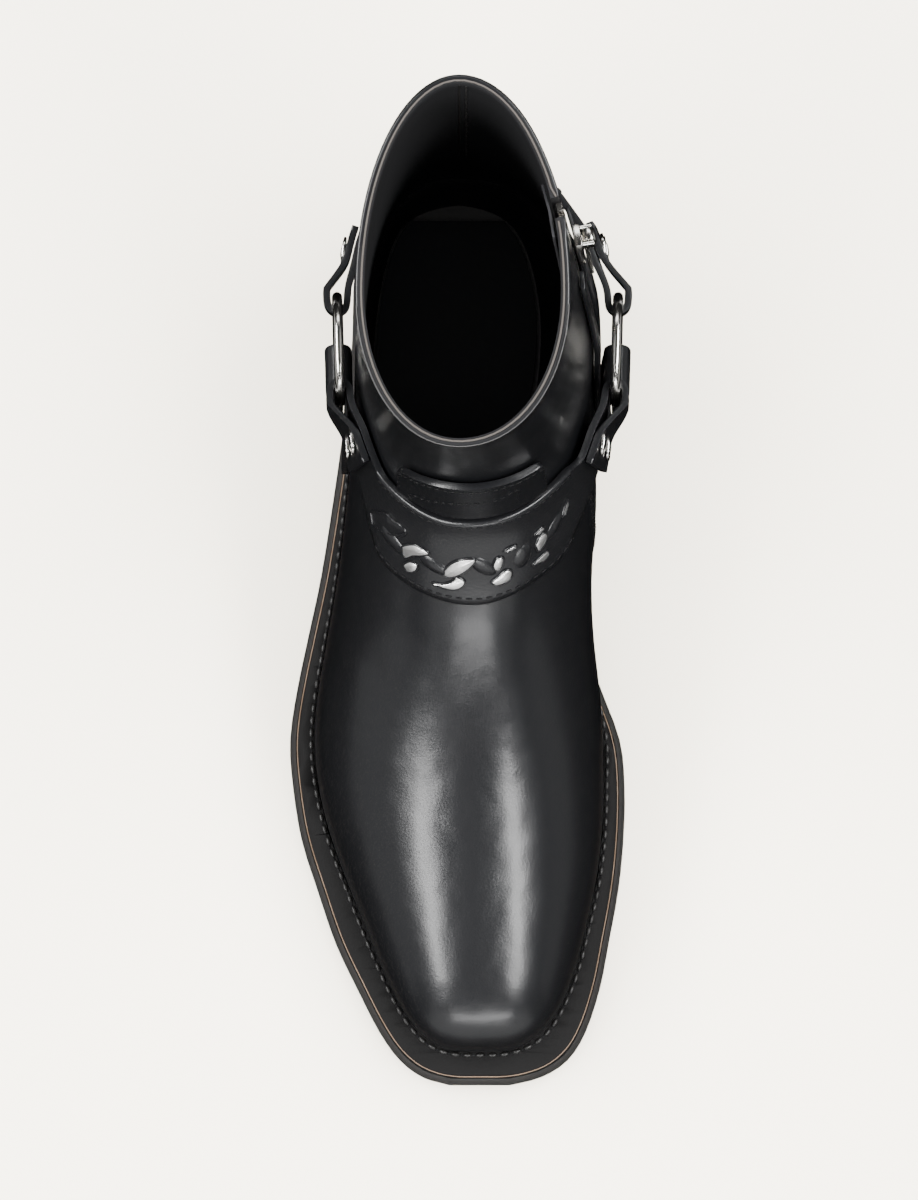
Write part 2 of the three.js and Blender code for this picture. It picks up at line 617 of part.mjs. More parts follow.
// Stations of a strap lying on the upper between two rows, for each line of its table
function strapOver(table, stepsPerLine) {
  const stations = [];
  for (let step = 0; step <= (table.length - 1) * stepsPerLine; step += 1) {
    const place = step / stepsPerLine;
    const turn = THREE.MathUtils.degToRad(along(table, 'turn', place));
    const rows = acrossSteps.map((step) => (
      (along(table, 'bottom', place) * (1 - step) + along(table, 'top', place) * (1 + step)) / 2));
    stations.push([strapClearance + strapThickness, strapClearance]
      .map((lift) => rows.map((row) => face(row, turn, lift))));
  }
  return stations;
}

const reversed = (stations) => stations.slice().reverse();
const flipped = (stations) => stations.map((faces) => faces.map((points) => points.slice().reverse()));
const strapFrom = (stations) => shell(stations.map(([outer]) => outer), stations.map(([, inner]) => inner));

function frontStrap() {
  const over = strapOver(frontStrapOverInstep, 2);
  return strapFrom([
    ...strapEnd(-1, frontWay),
    ...over,
    ...reversed(flipped(strapEnd(1, frontWay))),
  ]);
}

// Stations of the back strap round the heel: seen from the side it runs straight on from the rings
function strapRoundHeel(side) {
  return backStrapTurns.map((degrees) => {
    const turn = THREE.MathUtils.degToRad(side > 0 ? 180 - degrees : degrees);
    const rows = acrossSteps.map((step) => crossing((row) => {
      const point = facePoint(row, turn);
      const straight = ringPlace.y + (point.y - ringPlace.x) * backWay.y / backWay.x;
      return point.z - straight - step * flapWidth / 2;
    }, heelRow, collarRow));
    return [strapClearance + strapThickness, strapClearance]
      .map((lift) => rows.map((row) => face(row, turn, lift)));
  });
}

function backStrap() {
  return strapFrom([
    ...flipped(strapEnd(-1, backWay)),
    ...strapRoundHeel(-1),
    ...reversed(strapRoundHeel(1)).slice(1),
    ...reversed(strapEnd(1, backWay)),
  ]);
}

// The under strap ends on the welt
function underStrap(side) {
  const endAt = crossing((away) => {
    const y = ringPlace.x + underWay.x * away;
    return ringPlace.y + underWay.y * away - (weltTop(y) + 2 * gap);
  }, flapLength, ringPlace.y);
  const beyond = [0.3, 0.65, 1].map((part) => flapLength + (endAt - flapLength) * part);
  return strapFrom(strapEnd(side, underWay, [...farPlaces, ...beyond]));
}

function ring(side) {
  const geometry = new THREE.TorusGeometry(ringRadius, ringWire, 8, 24);
  geometry.deleteAttribute('normal');
  geometry.deleteAttribute('uv');
  return mergeVertices(geometry.applyMatrix4(ringFrame(side)), 1e-4);
}

// Rivet with a low dome, its foot on the flap
function rivet(side, way, spread) {
  const lift = ringClearance(side) + 2 * strapThickness + 2 * gap;
  const away = new THREE.Vector2().copy(ringPlace).addScaledVector(way, rivetPlace)
    .addScaledVector(new THREE.Vector2(-way.y, way.x), spread);
  const profile = [
    new THREE.Vector2(0, 0),
    new THREE.Vector2(rivetRadius, 0),
    new THREE.Vector2(rivetRadius, rivetHeight * rivetRim),
    new THREE.Vector2(rivetRadius * 0.7, rivetHeight),
    new THREE.Vector2(0, rivetHeight),
  ];
  const geometry = new THREE.LatheGeometry(profile, 10);
  geometry.deleteAttribute('normal');
  geometry.deleteAttribute('uv');
  geometry.rotateX(Math.PI / 2);
  geometry.applyMatrix4(sideFrame(away.x, away.y, side, lift, way));
  return solid(positions(geometry), faces(geometry));
}

const positions = (geometry) => {
  const place = geometry.getAttribute('position');
  return Array.from({ length: place.count }, (_, at) => new THREE.Vector3().fromBufferAttribute(place, at));
};
const faces = (geometry) => {
  const total = geometry.getAttribute('position').count;
  const index = geometry.getIndex()?.array ?? Array.from({ length: total }, (_, at) => at);
  return Array.from({ length: index.length / 3 }, (_, at) => Array.from(index.slice(3 * at, 3 * at + 3)));
};

// Zip on the inner side, from the collar down and forward
const zipTop = new THREE.Vector2(alongY(0.1263), seatHeight + outsoleThickness + shaftHeight);
const zipFoot = new THREE.Vector2(alongY(0.277), seatHeight + outsoleThickness + 0.16 * shaftHeight);
const zipWay = zipTop.clone().sub(zipFoot).normalize();
const zipLine = (belowFoot, belowTop) => [
  zipFoot.clone().addScaledVector(zipWay, -belowFoot),
  zipTop.clone().addScaledVector(zipWay, -belowTop),
];

const zipStrip = (from, to, low, high, foot, top, columns, raised) => (
  sideStrip(zipLine(foot, top), 1, from, to, low, high, 12, columns, raised));

const onZip = (below, lift) => {
  const place = zipTop.clone().addScaledVector(zipWay, -below);
  return sideFrame(place.x, place.y, 1, lift, zipWay);
};

function box(width, length, height, x, y, z) {
  const geometry = new THREE.BoxGeometry(width, length, height).translate(x, y, z);
  return solid(positions(geometry), faces(geometry));
}

function rod(radius, length, x, y, z) {
  const geometry = new THREE.CylinderGeometry(radius, radius, length, 12);
  geometry.rotateZ(Math.PI / 2).translate(x, y, z);
  return solid(positions(geometry), faces(geometry));
}

const eyeRadius = pinRadius + gap;
const knuckleRadius = eyeRadius + knuckleWall;
const pinUp = sliderThickness / 2 + knuckleRadius + gap;
const pinOnward = sliderLength / 2 - 2;
const sliderLift = sliderGap + sliderThickness / 2;

function zipSlider() {
  const earPlace = (tabWidth + earWidth) / 2 + gap;
  const body = toManifold(box(sliderWidth, sliderLength, sliderThickness, 0, 0, 0));
  const ears = [-1, 1].map((way) => toManifold(
    box(earWidth, earLength, pinUp + earLength / 2, way * earPlace, pinOnward, (pinUp + earLength / 2) / 2)));
  const pin = toManifold(rod(pinRadius, tabWidth + 2 * gap + earWidth, 0, pinOnward, pinUp));
  return fromManifold(body.add(ears[0]).add(ears[1]).add(pin)).applyMatrix4(onZip(sliderBelow, sliderLift));
}

function zipPull() {
  const knuckle = toManifold(rod(knuckleRadius, tabWidth, 0, 0, 0));
  const tab = toManifold(box(tabWidth, tabLength, tabThickness,
    0, -tabLength / 2, tabThickness / 2 - knuckleRadius));
  const eye = toManifold(rod(eyeRadius, tabWidth + 2, 0, 0, 0));
  return fromManifold(knuckle.add(tab).subtract(eye)).translate(0, pinOnward, pinUp)
    .applyMatrix4(onZip(sliderBelow, sliderLift));
}

const slot = zipStrip(-zipSlot / 2, zipSlot / 2, -2 * wall, wall, 0, zipTopInset, 1, 3 * wall);
const upper = fromManifold(toManifold(upperSkin()).subtract(toManifold(slot)));

const soleLevels = (fromAlong, toRow, levels) => layered(
  levels.map(({ inset, height }) => raise(soleRing(inset, fromAlong, toRow), height)));

const outsole = soleLevels(0, soleOutline.length - 1, [
  { inset: 0, height: soleUnder },
  { inset: outsoleFlare, height: soleTop },
]);

const weltPlate = soleLevels(heelBreast, soleOutline.length - 1, [
  { inset: outsoleFlare, height: feather },
  { inset: outsoleFlare + weltBevel, height: weltTop },
]);
const welt = fromManifold(toManifold(weltPlate).subtract(toManifold(closedForm(gap))));

const insole = layered([gap, insoleThickness].map((up) => (
  raise(featherRing(wall + 2 * gap), (y) => feather(y) + up))));

const breastRow = 1.5;
const liftDraw = 0.3;
const liftLedge = 0.2;
const heelStack = soleLevels(0, breastRow, [
  { inset: heelTaper, height: () => liftThickness + gap },
  { inset: heelTaper - stackFlare, height: (y) => soleUnder(y) - gap },
]);
const heelTopLift = soleLevels(0, breastRow, [
  { inset: heelTaper + liftDraw, height: () => 0 },
  { inset: heelTaper - liftLedge, height: () => liftThickness },
]);

// Patch sewn on the front of the shaft, just above the front strap
const frontPatchEdges = [
  { turn: 56, top: 16.3, bottom: 15.22 },
  { turn: 73, top: 16.7, bottom: 15.04 },
  { turn: 90, top: 16.85, bottom: 15.08 },
  { turn: 107, top: 16.95, bottom: 15.28 },
  { turn: 121, top: 17.0, bottom: 15.46 },
];

function material(color, roughness, metalness = 0) {
  return new THREE.MeshStandardMaterial({ color, roughness, metalness });
}

const leather = () => material(0x141416, 0.32);
const nickel = () => material(0xb8b3a8, 0.25, 1);
const boot = new THREE.Group();

function add(name, geometry, finish) {
  const mesh = new THREE.Mesh(geometry, finish);
  mesh.name = name;
  boot.add(mesh);
}

add('outsole', outsole, material(0x1b1a1a, 0.6));
add('welt', welt, material(0x1d1b1a, 0.55));
add('heel_stack', heelStack, material(0x1b1a1a, 0.55));
add('heel_top_lift', heelTopLift, material(0x161616, 0.8));
add('insole', insole, material(0x121213, 0.7));
add('upper', upper, leather());
add('front_patch', strapFrom(strapOver(frontPatchEdges, 2)), leather());
const facingFrom = zipSlot / 2 + facingInset;
add('zip_facing_front', zipStrip(facingFrom, facingFrom + frontFacing,
  facingClearance, facingClearance + facingThickness, facingInset, facingTopInset, 2), leather());
add('zip_facing_rear', zipStrip(-facingFrom - rearFacing, -facingFrom,
  facingClearance, facingClearance + facingThickness, facingInset, facingTopInset, 2), leather());
add('zip_tape', zipStrip(-zipTapeWidth / 2, zipTapeWidth / 2,
  -wall - 3 * gap - zipTapeThickness, -wall - 3 * gap, zipTopInset, zipTopInset - 1, 2), material(0x101011, 0.9));
add('zip_teeth', zipStrip(-zipTeeth / 2, zipTeeth / 2, -wall, 0, -gap, zipTopInset, 1), nickel());
add('zip_slider', zipSlider(), nickel());
add('zip_pull', zipPull(), nickel());
add('front_strap', frontStrap(), leather());
add('back_strap', backStrap(), leather());
for (const { name, sign } of sides) {
  add(`under_strap_${name}`, underStrap(sign), leather());
  add(`ring_${name}`, ring(sign), nickel());
  for (const [strap, way] of [['front', frontWay], ['back', backWay], ['under', underWay]]) {
    [-1, 1].forEach((step, at) => {
      add(`rivet_${strap}_${name}_${at + 1}`, rivet(sign, way, step * rivetSpread / 2), nickel());
    });
  }
}

export default boot;
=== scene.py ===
"""Harness boot on a pale floor, dressed over its solids: leather, stitching, welt, zip, rings and rivets."""

import json
import math

import bpy
from mathutils import Matrix, Vector
from mathutils.bvhtree import BVHTree

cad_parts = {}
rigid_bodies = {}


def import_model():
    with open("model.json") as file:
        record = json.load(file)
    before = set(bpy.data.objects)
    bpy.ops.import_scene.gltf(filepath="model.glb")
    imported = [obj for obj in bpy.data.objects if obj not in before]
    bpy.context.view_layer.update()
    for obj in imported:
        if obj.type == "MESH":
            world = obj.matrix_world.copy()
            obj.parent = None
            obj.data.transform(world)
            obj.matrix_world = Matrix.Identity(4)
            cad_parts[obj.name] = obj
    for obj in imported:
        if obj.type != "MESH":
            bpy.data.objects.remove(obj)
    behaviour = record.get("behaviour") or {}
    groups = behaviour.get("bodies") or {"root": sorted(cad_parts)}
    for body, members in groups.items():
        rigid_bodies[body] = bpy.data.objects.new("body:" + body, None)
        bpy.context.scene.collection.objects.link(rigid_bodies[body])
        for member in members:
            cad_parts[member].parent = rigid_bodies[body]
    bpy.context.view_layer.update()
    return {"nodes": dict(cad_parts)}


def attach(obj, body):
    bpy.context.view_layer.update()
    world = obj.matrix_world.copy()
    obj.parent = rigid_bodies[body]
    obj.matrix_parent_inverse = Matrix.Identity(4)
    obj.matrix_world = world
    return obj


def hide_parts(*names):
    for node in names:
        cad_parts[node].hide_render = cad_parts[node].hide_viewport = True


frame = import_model()
nodes = frame["nodes"]

# Sizes in metres
MM = 0.001
COLLAR_HEIGHT = 190.24 * MM
COLLAR_MIDDLE = (1 * MM, -18 * MM)
SHAFT_AXIS = (3 * MM, -18 * MM)
SHAFT_FRONT = -75 * MM
SHAFT_REACH = 75 * MM
LINING_FOOT = 60 * MM
WALL_LIMIT = 6 * MM
WALL_THICKNESS = 2.8 * MM
THREAD_LENGTH = 2.3 * MM
THREAD_PITCH = 3.1 * MM
THREAD_RADIUS = 0.32 * MM
FINE_THREAD_LENGTH = 1.9 * MM
FINE_THREAD_PITCH = 2.6 * MM
FINE_THREAD_RADIUS = 0.24 * MM
WELT_THREAD_LENGTH = 3.2 * MM
WELT_THREAD_PITCH = 3.9 * MM
WELT_THREAD_RADIUS = 0.75 * MM
WELT_SEAM_GAP = 1.3 * MM
WELT_BACK = -36 * MM
WELT_PROBE = 1.5 * MM
RIM_STEP = 1.0 * MM
FOOT_STEP = 0.25 * MM
WIDEST_FOOT_GAP = 6 * MM
ZIP_FOOT = Vector((40.7, -43.9, 66.2)) * MM
ZIP_TOP = Vector((29.5, -1.0, 188.0)) * MM
TOOTH_PITCH = 1.5 * MM
TOOTH_SIZE = (0.85 * MM, 2.9 * MM, 1.9 * MM)
TOOTH_OFFSET = 0.75 * MM
TOOTH_SINK = 1.0 * MM
RIVET_RADIUS = 4.1 * MM
RIVET_HEIGHT = 1.0 * MM
RIVET_RIM_WIDTH = 1.3 * MM
RIVET_HOLLOW = 0.5 * MM
DOME_RADIUS = 2.75 * MM
DOME_HEIGHT = 0.85 * MM
DOME_LIFT = 0.45 * MM
LINK_HEIGHT = 1.7 * MM
LINK_SINK = 1.0 * MM
WINDOW_STEP = 0.5 * MM
WINDOW_BORDER = 0.45 * MM
WINDOW_LIP_RADIUS = 0.42 * MM
RAY_START = 20 * MM
SIDE_RAY_START = 30 * MM

# Ways that rays go, and counts
DOWN = Vector((0, 0, -1))
INWARD = Vector((-1, 0, 0))
CURVE_PARTS = 12
RIM_REACH = 3
FOOT_REACH = 5

# Seams as points in millimetres, laid near the surface that they are sewn to
FRONT_STRAP_LOW = [
    (-25.7, -88.4, 99.9), (-20.9, -95.1, 101.0), (-13.7, -100.6, 103.4), (-4.5, -104.6, 104.8),
    (6.0, -105.8, 105.4), (15.1, -103.3, 106.0), (23.2, -98.7, 105.3), (30.1, -92.9, 103.7),
    (34.4, -86.7, 103.2),
]
FRONT_STRAP_HIGH = [
    (-24.3, -71.2, 119.5), (-19.4, -77.1, 123.5), (-12.4, -82.9, 126.7), (-3.8, -86.6, 128.7),
    (5.6, -87.3, 130.6), (14.7, -85.4, 131.2), (22.6, -81.1, 129.9), (29.1, -75.3, 126.6),
    (33.2, -70.1, 122.8),
]
PATCH_HIGH = [
    (-18.2, -71.9, 139.4), (-7.4, -78.0, 148.6), (4.2, -79.8, 151.7), (16.0, -77.3, 151.5),
    (24.9, -71.9, 148.6),
]
PATCH_LOW = [
    (-18.2, -75.5, 129.6), (-6.9, -82.8, 134.3), (5.3, -84.6, 136.8), (17.1, -81.7, 137.0),
    (26.0, -75.5, 134.3),
]
PATCH_INNER = [
    (-13.4, -79.4, 131.0), (-15.1, -77.2, 132.7), (-10.5, -79.5, 136.5), (-4.7, -81.1, 140.9),
    (0.5, -81.8, 143.2), (6.8, -81.6, 144.5), (12.0, -80.6, 144.9), (17.4, -77.7, 146.8),
    (17.1, -80.8, 138.5),
]
BACK_STRAP_LOW = [
    (-26.2, 16.0, 104.1), (-20.7, 24.3, 104.8), (-14.3, 30.2, 105.3), (-7.3, 33.8, 105.5), (0, 34.9, 105.6),
    (8.7, 33.8, 105.5), (17.3, 30.2, 105.3), (25.3, 24.1, 104.8), (32.3, 15.8, 104.1),
]
BACK_STRAP_HIGH = [
    (-25.7, 14.2, 120.2), (-20.4, 22.8, 120.9), (-14.3, 29.3, 121.4), (-7.4, 33.4, 121.6), (0, 34.8, 121.7),
    (8.5, 33.6, 121.6), (16.8, 29.7, 121.4), (24.5, 23.1, 120.9), (31.1, 14.4, 120.3),
]
BACK_SEAM = [(0, 31.0, 48), (0, 34.1, 75.1), (0, 31.6, 109.3), (0, 33.4, 147.6), (0, 36.8, 188.0)]
INNER_SIDE_SEAM = [
    (36.0, -62.0, 100.0), (38.5, -68.0, 92.0), (40.5, -74.4, 82.3), (41.3, -78.1, 74.2),
    (42.0, -80.4, 62.4), (42.5, -82.0, 52.0), (42.5, -83.5, 44.0), (42.0, -84.5, 37.0),
]

# Openings in the front strap, where the chain under it shows
# The first opening is a hollow in shade: it gets a cover of dark strap leather instead of chain metal, as
# painted shade
SHADED_HOLLOW_WINDOW = 1
CHAIN_WINDOWS = [
    [(-26.3, -79.5, 105.2), (-21.9, -80.7, 113.8), (-19.5, -83.1, 115.6), (-16.5, -85.5, 117.4),
     (-15.9, -87.2, 116.3), (-18.7, -87.2, 112.6), (-22.5, -85.6, 108.2), (-25.8, -82.8, 103.9)],
    [(-16.8, -90.5, 111.5), (-13.5, -90.3, 115.4), (-10.6, -91.7, 116.4), (-8.8, -93.1, 116.1),
     (-11.2, -93.4, 113.8), (-13.6, -93.2, 111.9), (-15.5, -93.5, 109.4), (-16.6, -92.3, 109.7)],
    [(-16.4, -95.4, 106.3), (-14.4, -94.7, 109.2), (-12.3, -95.8, 109.8), (-13.2, -97.4, 107.2),
     (-15.5, -97.1, 105.3)],
    [(-4.3, -97.7, 112.6), (-2.1, -96.0, 115.9), (1.0, -95.1, 117.9), (4.8, -95.2, 118.4),
     (3.2, -97.2, 115.4), (-0.0, -99.0, 112.4), (-2.9, -99.5, 110.9), (-4.4, -98.9, 111.1)],
    [(-8.0, -100.9, 106.9), (-4.8, -101.3, 108.0), (-2.2, -100.8, 109.5), (-0.6, -99.7, 111.3),
     (1.6, -100.7, 110.5), (1.0, -102.1, 108.7), (-1.6, -102.8, 107.4), (-4.8, -102.3, 106.9)],
    [(10.1, -96.8, 115.7), (11.1, -94.8, 118.2), (13.0, -94.5, 118.0), (12.8, -96.4, 115.4),
     (12.0, -97.7, 114.0), (10.6, -97.7, 114.3)],
    [(9.6, -101.2, 110.0), (11.2, -99.8, 111.4), (13.8, -97.8, 113.1), (15.6, -97.9, 112.1),
     (15.4, -99.4, 110.2), (13.5, -101.1, 109.1), (11.0, -101.7, 109.2)],
    [(13.2, -93.0, 120.0), (15.3, -91.7, 120.8), (17.1, -91.1, 120.4), (15.9, -92.3, 119.6)],
    [(22.6, -90.7, 116.2), (23.9, -88.2, 117.9), (25.5, -87.0, 117.2), (26.0, -87.9, 115.5),
     (25.0, -90.4, 113.9), (23.4, -92.0, 113.8)],
    [(21.8, -95.9, 110.3), (23.4, -94.1, 111.0), (26.1, -91.7, 111.0), (26.7, -92.5, 109.2),
     (25.1, -94.4, 108.8)],
    [(22.2, -87.9, 120.1), (24.4, -85.8, 120.2), (25.1, -86.0, 119.0), (23.3, -87.8, 119.0)],
    [(30.5, -81.9, 115.0), (31.1, -79.4, 116.4), (32.1, -77.1, 116.9), (32.2, -78.7, 114.9),
     (31.4, -81.3, 114.0)],
]

# Where the links press up through the strap: place, length, width and turn seen from above
LINK_BUMPS = [
    ((-20.0, -88.5, 109.2), 12, 6.5, -38), ((-7.8, -96.2, 112.6), 12, 6.5, -50),
    ((7.3, -97.2, 115.6), 12, 6.5, -62), ((19.1, -94.0, 115.2), 12, 6.5, -75),
    ((28.7, -84.8, 115.2), 11, 6, -92),
]


def only(*pieces):
    """Selects these pieces alone, the first one active."""
    if bpy.context.object and bpy.context.object.mode != "OBJECT":
        bpy.ops.object.mode_set(mode="OBJECT")
    bpy.ops.object.select_all(action="DESELECT")
    for piece in pieces:
        piece.select_set(True)
    bpy.context.view_layer.objects.active = pieces[0]


def apply_modifier(piece, kind, **values):
    """Adds a modifier to a piece and applies it."""
    only(piece)
    modifier = piece.modifiers.new(kind.title(), kind)
    for name, value in values.items():
        setattr(modifier, name, value)
    bpy.ops.object.modifier_apply(modifier=modifier.name)


def finish_piece(piece, name, material, body="boot", smooth=40):
    """Names a piece, gives it its finish and lets it ride on its body."""
    piece.name = name
    piece.data.name = name
    piece.data.materials.clear()
    piece.data.materials.append(material)
    only(piece)
    bpy.ops.object.shade_smooth_by_angle(angle=math.radians(smooth))
    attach(piece, body)
    return piece


def merged_copy(node, quads=True):
    """Copy of a CAD solid, its loose triangles joined, as quads where they lie flat enough."""
    only(nodes[node])
    nodes[node].hide_set(False)
    bpy.ops.object.duplicate()
    piece = bpy.context.object
    bpy.ops.object.parent_clear(type="CLEAR_KEEP_TRANSFORM")
    bpy.ops.object.mode_set(mode="EDIT")
    bpy.ops.mesh.select_all(action="SELECT")
    bpy.ops.mesh.remove_doubles(threshold=0.002 * MM)
    bpy.ops.mesh.dissolve_degenerate(threshold=0.02 * MM)
    if quads:
        bpy.ops.mesh.tris_convert_to_quads(face_threshold=math.radians(50),
                                           shape_threshold=math.radians(70))
    bpy.ops.object.mode_set(mode="OBJECT")
    return piece


def crease_sharp_edges(piece, angle, amount):
    """Keeps a piece's sharp edges from being smoothed away."""
    only(piece)
    bpy.ops.object.mode_set(mode="EDIT")
    bpy.ops.mesh.select_mode(type="EDGE")
    bpy.ops.mesh.select_all(action="DESELECT")
    bpy.ops.mesh.edges_select_sharp(sharpness=math.radians(angle))
    bpy.ops.transform.edge_crease(value=amount)
    bpy.ops.object.mode_set(mode="OBJECT")


def rounded(node, name, material, width, body="boot"):
    """A CAD solid with its edges rounded off."""
    piece = merged_copy(node)
    apply_modifier(piece, "BEVEL", width=width, segments=2, limit_method="ANGLE",
                   angle_limit=math.radians(38))
    finish_piece(piece, name, material, body)
    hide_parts(node)
    return piece


def softened(node, name, material, crease, angle=38, body="boot"):
    """A CAD solid smoothed to an even skin, with its edges kept by creases."""
    piece = merged_copy(node)
    crease_sharp_edges(piece, angle, crease)
    apply_modifier(piece, "SUBSURF", levels=2, render_levels=2)
    finish_piece(piece, name, material, body)
    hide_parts(node)
    return piece


def surface_of(piece):
    """A piece's faces as a skin that rays and nearest places can be looked up on."""
    mesh = piece.data
    return BVHTree.FromPolygons([v.co for v in mesh.vertices], [tuple(f.vertices) for f in mesh.polygons])


def drawn(points, step):
    """Even stations along a smooth line through points."""
    line = list(points)
    fine = []
    for at in range(len(line) - 1):
        before = line[max(at - 1, 0)]
        start, end = line[at], line[at + 1]
        after = line[min(at + 2, len(line) - 1)]
        for part in range(CURVE_PARTS):
            t = part / CURVE_PARTS
            bend = (2 * before - 5 * start + 4 * end - after) * t * t
            twist = (3 * (start - end) + after - before) * t ** 3
            fine.append(start + 0.5 * ((end - before) * t + bend + twist))
    fine.append(line[-1])
    length = sum((b - a).length for a, b in zip(fine, fine[1:]))
    count = max(int(round(length / step)), 1)
    stations = [fine[0]]
    gone, wanted = 0.0, length / count
    for a, b in zip(fine, fine[1:]):
        run = (b - a).length
        while gone + run >= wanted * len(stations) - 1e-9 and len(stations) <= count:
            stations.append(a.lerp(b, (wanted * len(stations) - gone) / max(run, 1e-12)))
        gone += run
    return stations


def seam(points, step, skin):
    """Stations of a seam on a skin: place, outward normal and direction."""
    stations = drawn(points, step)
    found = []
    for at in range(len(stations) - 1):
        middle = (stations[at] + stations[at + 1]) / 2
        place, normal, _, _ = skin.find_nearest(middle)
        onward = stations[at + 1] - stations[at]
        found.append((place, normal, (onward - normal * onward.dot(normal)).normalized()))
    return found


def laid(place, normal, onward, lift=0.0):
    """Matrix that lays a piece's X along onward and its Z along normal."""
    across = normal.cross(onward)
    turn = Matrix((onward, across, normal)).transposed().to_4x4()
    return Matrix.Translation(place + normal * lift) @ turn


def copies(master, places, name, material, smooth=60):
    """One piece made of a copy of the master at each place; the master itself goes."""
    made = []
    for place in places:
        one = master.copy()
        one.data = master.data.copy()
        one.data.transform(place)
        bpy.context.scene.collection.objects.link(one)
        made.append(one)
    only(master)
    bpy.ops.object.delete()
    only(*made)
    if len(made) > 1:
        bpy.ops.object.join()
    return finish_piece(bpy.context.object, name, material, smooth=smooth)


def flattened_ball(segments, rings, half_size):
    """A ball drawn out to its half size along each axis."""
    bpy.ops.mesh.primitive_uv_sphere_add(segments=segments, ring_count=rings, radius=1)
    ball = bpy.context.object
    bpy.ops.object.mode_set(mode="EDIT")
    bpy.ops.transform.resize(value=half_size)
    bpy.ops.object.mode_set(mode="OBJECT")
    return ball


def stitched(name, lines, skin, length=THREAD_LENGTH, pitch=THREAD_PITCH, radius=THREAD_RADIUS,
             material=None):
    """A row of stitches along each line: short thick threads that sink at both ends."""
    places = []
    for line in lines:
        for place, normal, onward in seam(line, pitch, skin):
            places.append(laid(place, normal, onward, radius * 0.25))
    stitch = flattened_ball(6, 5, (length / 2, radius, radius))
    return copies(stitch, places, name, material or thread)


def line_piece(name, points, radius, material, closed=False):
    """A thin round line through points, as one mesh."""
    bpy.ops.curve.primitive_bezier_curve_add(location=(0, 0, 0))
    line = bpy.context.object
    line.data.splines.clear()
    spline = line.data.splines.new("POLY")
    spline.points.add(len(points) - 1)
    for point, place in zip(spline.points, points):
        point.co = (*place, 1)
    spline.use_cyclic_u = closed
    line.data.dimensions = "3D"
    line.data.bevel_depth = radius
    line.data.bevel_resolution = 1
    line.data.use_fill_caps = not closed
    bpy.ops.object.convert(target="MESH")
    return finish_piece(bpy.context.object, name, material, smooth=60)


def in_mm(points):
    """Points of a table in millimetres as places in metres."""
    return [Vector(p) * MM for p in points]


def moved(points, way):
    """Points moved together by the same way."""
    return [p + Vector(way) for p in points]


def on_skin(points, step, skin):
    """Even stations of a smooth line, each brought onto a skin."""
    return [skin.find_nearest(p)[0] for p in drawn(points, step)]


# Materials
def plain_material(name, color, roughness, metallic=0.0, coat=0.0, coat_roughness=0.1, specular=0.5):
    """A material of one colour."""
    material = bpy.data.materials.new(name)
    material.use_nodes = True
    shader = material.node_tree.nodes["Principled BSDF"]
    shader.inputs["Base Color"].default_value = (*color, 1)
    shader.inputs["Roughness"].default_value = roughness
    shader.inputs["Metallic"].default_value = metallic
    shader.inputs["Coat Weight"].default_value = coat
    shader.inputs["Coat Roughness"].default_value = coat_roughness
    shader.inputs["Specular IOR Level"].default_value = specular
    return material


def add_grain(material, layers):
    """Adds fine relief to a material. A layer is its kind, scale per metre, depth and strength."""
    tree = material.node_tree
    shader = tree.nodes["Principled BSDF"]
    places = tree.nodes.new("ShaderNodeTexCoord")
    last = None
    for kind, scale, depth, strength in layers:
        texture = tree.nodes.new("ShaderNodeTexVoronoi" if kind == "cells" else "ShaderNodeTexNoise")
        stretch = tree.nodes.new("ShaderNodeMapping")
        stretch.inputs["Scale"].default_value = (1, 1, 0.12) if kind == "folds" else (1, 1, 1)
        tree.links.new(places.outputs["Object"], stretch.inputs["Vector"])
        texture.inputs["Scale"].default_value = scale
        if kind != "cells":
            texture.inputs["Detail"].default_value = 3
        tree.links.new(stretch.outputs["Vector"], texture.inputs["Vector"])
        bump = tree.nodes.new("ShaderNodeBump")
        bump.inputs["Distance"].default_value = depth
        bump.inputs["Strength"].default_value = strength
        tree.links.new(texture.outputs["Distance" if kind == "cells" else "Fac"], bump.inputs["Height"])
        if last:
            tree.links.new(last.outputs["Normal"], bump.inputs["Normal"])
        last = bump
    tree.links.new(last.outputs["Normal"], shader.inputs["Normal"])
    return material


leather = add_grain(
    plain_material("black_leather", (0.0030, 0.0031, 0.0036), 0.30, coat=0.08, coat_roughness=0.18,
                   specular=0.36),
    [("folds", 28, 0.0030, 0.42), ("cells", 1100, 0.00015, 0.11), ("noise", 2300, 0.0001, 0.16)])
strap_leather = add_grain(
    plain_material("strap_leather", (0.0036, 0.0037, 0.0042), 0.30, coat=0.10, coat_roughness=0.2,
                   specular=0.36),
    [("cells", 1000, 0.0002, 0.16), ("noise", 2100, 0.00012, 0.14)])
lining = add_grain(
    plain_material("black_lining", (0.0050, 0.0050, 0.0054), 0.7, specular=0.12),
    [("noise", 700, 0.0002, 0.2)])
raw_edge = add_grain(
    plain_material("raw_leather_edge", (0.040, 0.035, 0.031), 0.85, specular=0.3),
    [("noise", 1500, 0.0003, 0.5)])
pale_line = plain_material("pale_edge_line", (0.040, 0.039, 0.038), 0.7)
thread = plain_material("black_thread", (0.002, 0.002, 0.0022), 0.6, specular=0.12)
welt_thread = plain_material("waxed_welt_thread", (0.006, 0.0058, 0.0056), 0.45, specular=0.3)
sole_rubber = add_grain(
    plain_material("outsole_rubber", (0.016, 0.0155, 0.0155), 0.42, specular=0.32),
    [("noise", 420, 0.0003, 0.15)])
welt_leather = add_grain(
    plain_material("welt_leather", (0.0030, 0.0029, 0.0029), 0.65, specular=0.08),
    [("noise", 600, 0.0003, 0.25)])
# Painted highlight: a tan colour for the thin line along the welt's outer top edge, standing in for the light
# that edge catches
tan_highlight_paint = add_grain(
    plain_material("painted_tan_edge_highlight", (0.085, 0.054, 0.033), 0.6),
    [("noise", 900, 0.0003, 0.4)])
